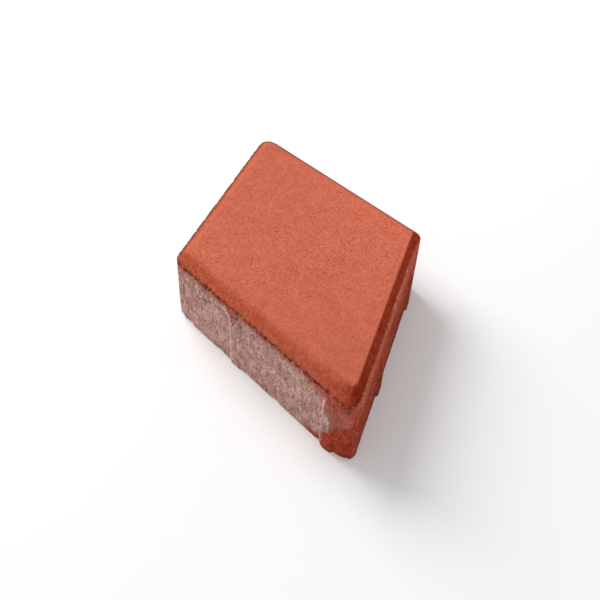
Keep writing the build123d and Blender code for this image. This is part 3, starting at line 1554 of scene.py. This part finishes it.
    def build(self) -> bpy.types.Object:
        """Builds the worn casting with its tints and dresses it.

        Returns:
            The finished object, at the origin.
        """
        relief = Relief(self.sizes, self.wear)
        mesh = self.clean_mesh(relief.plan, relief.face)
        self.wear_down(mesh, relief)
        stone = new_object("paving_stone_cast", mesh)
        stone.data.shade_smooth()
        stone.data.materials.append(self.finish.material())
        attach(stone, "root")
        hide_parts("paving_stone")
        return stone


@dataclass(frozen=True)
class Studio:
    """The plain studio: floor, soft lamp, even surround and camera."""

    lamp_way: tuple[float, float, float] = (-0.50, -0.30, 0.45)
    lamp_far: float = 2.6
    lamp_size: float = 1.8
    lamp_level: float = 1.0
    surround: float = 0.55
    floor_colour: Colour = (0.88, 0.88, 0.88, 1.0)
    floor_reach: float = 6.0
    floor_sink: float = 0.02 * MM
    floor_lift: float = 0.16
    floor_edge_lift: float = 0.9
    floor_fade: tuple[float, float] = (0.3, 1.3)

    def floor(self) -> bpy.types.Object:
        """Lays the pale floor, which keeps the stone's shadow.

        Returns:
            The floor, just below the stone.
        """
        mesh = bmesh.new()
        bmesh.ops.create_grid(mesh, x_segments=1, y_segments=1, size=self.floor_reach)
        floor = new_object("studio_floor", mesh)
        floor.location.z = -self.floor_sink
        made, bench = new_material("studio floor")
        paint = bench.fed("ShaderNodeBsdfDiffuse", {"Color": self.floor_colour})
        seen = bench.add("ShaderNodeLightPath").outputs["Is Camera Ray"]
        place = bench.add("ShaderNodeTexCoord").outputs["Object"]
        away = bench.fed("ShaderNodeVectorMath", {0: place}, operation="LENGTH").outputs["Value"]
        lift = bench.remap(away, *self.floor_fade, self.floor_lift, self.floor_edge_lift)
        glow = bench.fed("ShaderNodeEmission", {"Strength": bench.product(seen, lift)})
        both = bench.fed("ShaderNodeAddShader", {0: paint.outputs[0], 1: glow.outputs[0]})
        bench.fed("ShaderNodeOutputMaterial", {"Surface": both.outputs[0]})
        floor.data.materials.append(made)
        return floor

    def lamp(self) -> bpy.types.Object:
        """Hangs the one soft lamp.

        Returns:
            The lamp, turned towards the stone.
        """
        light = bpy.data.lights.new("soft_lamp", "AREA")
        light.shape = "DISK"
        light.size = self.lamp_size
        light.energy = self.lamp_level * math.pi**2 * self.lamp_far**2
        way = Vector(self.lamp_way).normalized()
        lamp = bpy.data.objects.new("soft_lamp", light)
        lamp.location = way * self.lamp_far
        lamp.rotation_mode = "QUATERNION"
        lamp.rotation_quaternion = way.to_track_quat("Z", "Y")
        bpy.context.scene.collection.objects.link(lamp)
        return lamp

    def air(self) -> bpy.types.World:
        """Sets the even surround.

        Returns:
            The surround: plain light on the stone, and white where it is seen.
        """
        world = bpy.data.worlds.new("studio_air")
        bpy.context.scene.world = world
        world.use_nodes = True
        world.node_tree.nodes.clear()
        bench = NodeBench(world.node_tree)
        rays = bench.add("ShaderNodeLightPath").outputs
        seen = bench.math("MAXIMUM", rays["Is Camera Ray"], rays["Is Glossy Ray"])
        seen = bench.math("MAXIMUM", seen, rays["Is Transmission Ray"])
        level = bench.fed("ShaderNodeMapRange", {"Value": seen, "To Min": self.surround, "To Max": 1.0})
        sky = bench.fed("ShaderNodeBackground", {"Strength": level.outputs["Result"]})
        bench.fed("ShaderNodeOutputWorld", {"Surface": sky.outputs[0]})
        return world

    def build(self) -> None:
        """Sets up the whole studio."""
        self.floor()
        self.lamp()
        self.air()
        bpy.context.scene.view_settings.view_transform = "Standard"


@dataclass(frozen=True)
class Viewpoint:
    """Where the picture is taken from; angles in degrees, lengths in metres, the lens in millimetres."""

    azimuth: float = 76.21
    elevation: float = 42.17
    roll: float = 3.20
    far: float = 0.5935
    aim: tuple[float, float, float] = (0.0, 0.0007, 0.0)
    lens: float = 44.45
    sensor: float = 36.0
    clip: tuple[float, float] = (0.01, 50.0)

    def build(self) -> bpy.types.Object:
        """Makes the camera and hands the scene to it.

        Returns:
            The camera.
        """
        around, rise, lean = (math.radians(angle) for angle in (self.azimuth, self.elevation, self.roll))
        flat = math.cos(rise)
        back = Vector((math.sin(around) * flat, -math.cos(around) * flat, math.sin(rise)))
        right = Vector((math.cos(around), math.sin(around), 0.0))
        up = back.cross(right)
        tilted_right = right * math.cos(lean) + up * math.sin(lean)
        tilted_up = up * math.cos(lean) - right * math.sin(lean)
        data = bpy.data.cameras.new("camera")
        data.lens = self.lens
        data.sensor_width = self.sensor
        data.clip_start, data.clip_end = self.clip
        camera = bpy.data.objects.new("camera", data)
        turned = Matrix((tilted_right, tilted_up, back)).transposed()
        camera.matrix_world = Matrix.Translation(Vector(self.aim) + back * self.far) @ turned.to_4x4()
        bpy.context.scene.collection.objects.link(camera)
        bpy.context.scene.camera = camera
        return camera


def main() -> None:
    """Builds the stone and the studio round it."""
    logging.basicConfig(level=logging.INFO, format="%(name)s: %(message)s")
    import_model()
    Viewpoint().build()
    stone = PavingStone(StoneSizes(), MeshSteps(), Wear(), ConcreteFinish()).build()
    triangles = sum(len(face.vertices) - 2 for face in stone.data.polygons)
    LOG.info("%s: %d points, %d triangles", stone.name, len(stone.data.vertices), triangles)
    Studio().build()


if __name__ == "__main__":
    main()
